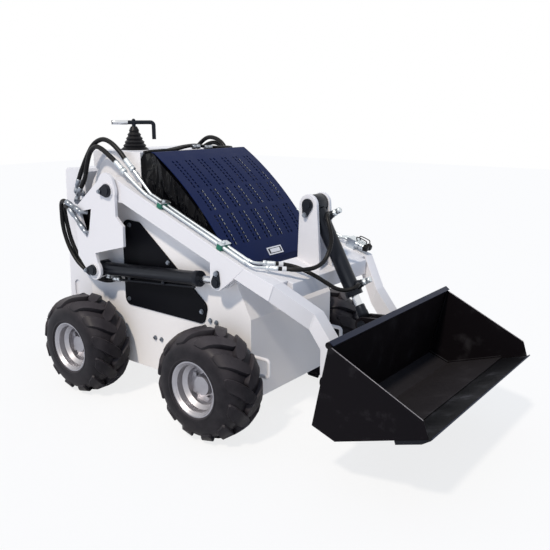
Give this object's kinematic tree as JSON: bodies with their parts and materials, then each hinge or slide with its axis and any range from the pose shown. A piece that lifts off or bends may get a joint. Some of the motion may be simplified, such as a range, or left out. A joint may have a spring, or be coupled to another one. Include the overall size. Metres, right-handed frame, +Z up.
{
  "type": "compact loader",
  "caption": "Stand-on compact loader with lugged tyres, lift arms over an engine hood, hydraulic cylinders and a front bucket.",
  "frame": {"origin": "on the ground under the middle of the whole machine", "axes": "+X forward to the bucket, +Y to the machine's left, +Z up"},
  "size_m": [2.279, 1.014, 1.241],
  "materials": {
    "white_paint": "gloss",
    "navy_paint": "satin",
    "black_paint": "satin",
    "zinc_steel": "satin",
    "hard_chrome": "polished",
    "tyre_rubber": "matte",
    "boot_rubber": "matte",
    "cast_engine": "matte",
    "black_plastic": "matte"
  },
  "bodies": {
    "chassis": {"tub": "white_paint", "rear_body": "white_paint", "console": "white_paint", "tower_right": "white_paint", "tower_left": "white_paint", "hood": "navy_paint", "engine_block": "cast_engine", "engine_cowl": "cast_engine", "side_cover_right": "black_paint", "side_cover_left": "black_paint", "joystick_boot": "boot_rubber", "joystick_handle": "black_plastic", "foot_platform": "black_paint", "tie_downs": "white_paint", "axle_front_right": "black_paint", "axle_front_left": "black_paint", "axle_rear_right": "black_paint", "axle_rear_left": "black_paint", "pivot_pins": "black_paint", "base_pins": "black_paint"},
    "arms": {"arm_right": "white_paint", "arm_left": "white_paint", "cross_beam": "white_paint", "mast": "white_paint", "mast_pin": "black_paint", "rod_pin_heads": "black_paint", "oil_tubes": "zinc_steel", "couplers": "zinc_steel"},
    "bucket": {"attach_plate": "black_paint", "hinge_pins": "zinc_steel", "bucket_shell": "black_paint", "cutting_edge": "black_paint"},
    "lift_cylinder_right": {"lift_barrel_right": "black_paint"},
    "lift_piston_right": {"lift_rod_right": "hard_chrome"},
    "lift_cylinder_left": {"lift_barrel_left": "black_paint"},
    "lift_piston_left": {"lift_rod_left": "hard_chrome"},
    "tilt_cylinder": {"tilt_barrel": "black_paint"},
    "tilt_piston": {"tilt_rod": "hard_chrome"},
    "wheel_front_right": {"tyre_front_right": "tyre_rubber", "rim_front_right": "zinc_steel"},
    "wheel_front_left": {"tyre_front_left": "tyre_rubber", "rim_front_left": "zinc_steel"},
    "wheel_rear_right": {"tyre_rear_right": "tyre_rubber", "rim_rear_right": "zinc_steel"},
    "wheel_rear_left": {"tyre_rear_left": "tyre_rubber", "rim_rear_left": "zinc_steel"}
  },
  "joints": [
    {"name": "roll_front_right", "type": "hinge", "parent": "chassis", "child": "wheel_front_right", "pos_m": [0.1605, -0.405, 0.2285], "axis": [0, 1, 0], "continuous": true},
    {"name": "roll_front_left", "type": "hinge", "parent": "chassis", "child": "wheel_front_left", "pos_m": [0.1605, 0.405, 0.2285], "axis": [0, 1, 0], "continuous": true},
    {"name": "roll_rear_right", "type": "hinge", "parent": "chassis", "child": "wheel_rear_right", "pos_m": [-0.6295, -0.405, 0.2285], "axis": [0, 1, 0], "continuous": true},
    {"name": "roll_rear_left", "type": "hinge", "parent": "chassis", "child": "wheel_rear_left", "pos_m": [-0.6295, 0.405, 0.2285], "axis": [0, 1, 0], "continuous": true},
    {"name": "lift", "type": "hinge", "parent": "chassis", "child": "arms", "pos_m": [-0.4435, 0, 0.948], "axis": [0, -1, 0], "range_deg": [-9, 62]},
    {"name": "tilt", "type": "hinge", "parent": "arms", "child": "bucket", "pos_m": [0.6355, 0, 0.3], "axis": [0, 1, 0], "range_deg": [-15, 110]},
    {"name": "lift_swing_right", "type": "hinge", "parent": "chassis", "child": "lift_cylinder_right", "pos_m": [-0.5725, -0.327, 0.579], "axis": [0, -1, 0], "range_deg": [-6.49, 44.12]},
    {"name": "lift_stroke_right", "type": "slide", "parent": "lift_cylinder_right", "child": "lift_piston_right", "axis": [0.9976, 0, 0.0689], "range_m": [-0.04516, 0.30814]},
    {"name": "lift_swing_left", "type": "hinge", "parent": "chassis", "child": "lift_cylinder_left", "pos_m": [-0.5725, 0.327, 0.579], "axis": [0, -1, 0], "range_deg": [-6.49, 44.12]},
    {"name": "lift_stroke_left", "type": "slide", "parent": "lift_cylinder_left", "child": "lift_piston_left", "axis": [0.9976, 0, 0.0689], "range_m": [-0.04516, 0.30814]},
    {"name": "tilt_swing", "type": "hinge", "parent": "arms", "child": "tilt_cylinder", "pos_m": [0.3835, 0, 0.92], "axis": [0, -1, 0], "range_deg": [-0.86, 5.68]},
    {"name": "tilt_stroke", "type": "slide", "parent": "tilt_cylinder", "child": "tilt_piston", "axis": [0.4891, 0, -0.8722], "range_m": [-0.03692, 0.26755]}
  ],
  "couplings": [
    {"joint": "lift_swing_right", "follows": "lift", "ratio": 0.71},
    {"joint": "lift_stroke_right", "follows": "lift", "m_per_rad": 0.2843},
    {"joint": "lift_swing_left", "follows": "lift", "ratio": 0.71},
    {"joint": "lift_stroke_left", "follows": "lift", "m_per_rad": 0.2843},
    {"joint": "tilt_swing", "follows": "tilt", "ratio": 0.0507},
    {"joint": "tilt_stroke", "follows": "tilt", "m_per_rad": 0.1391}
  ]
}
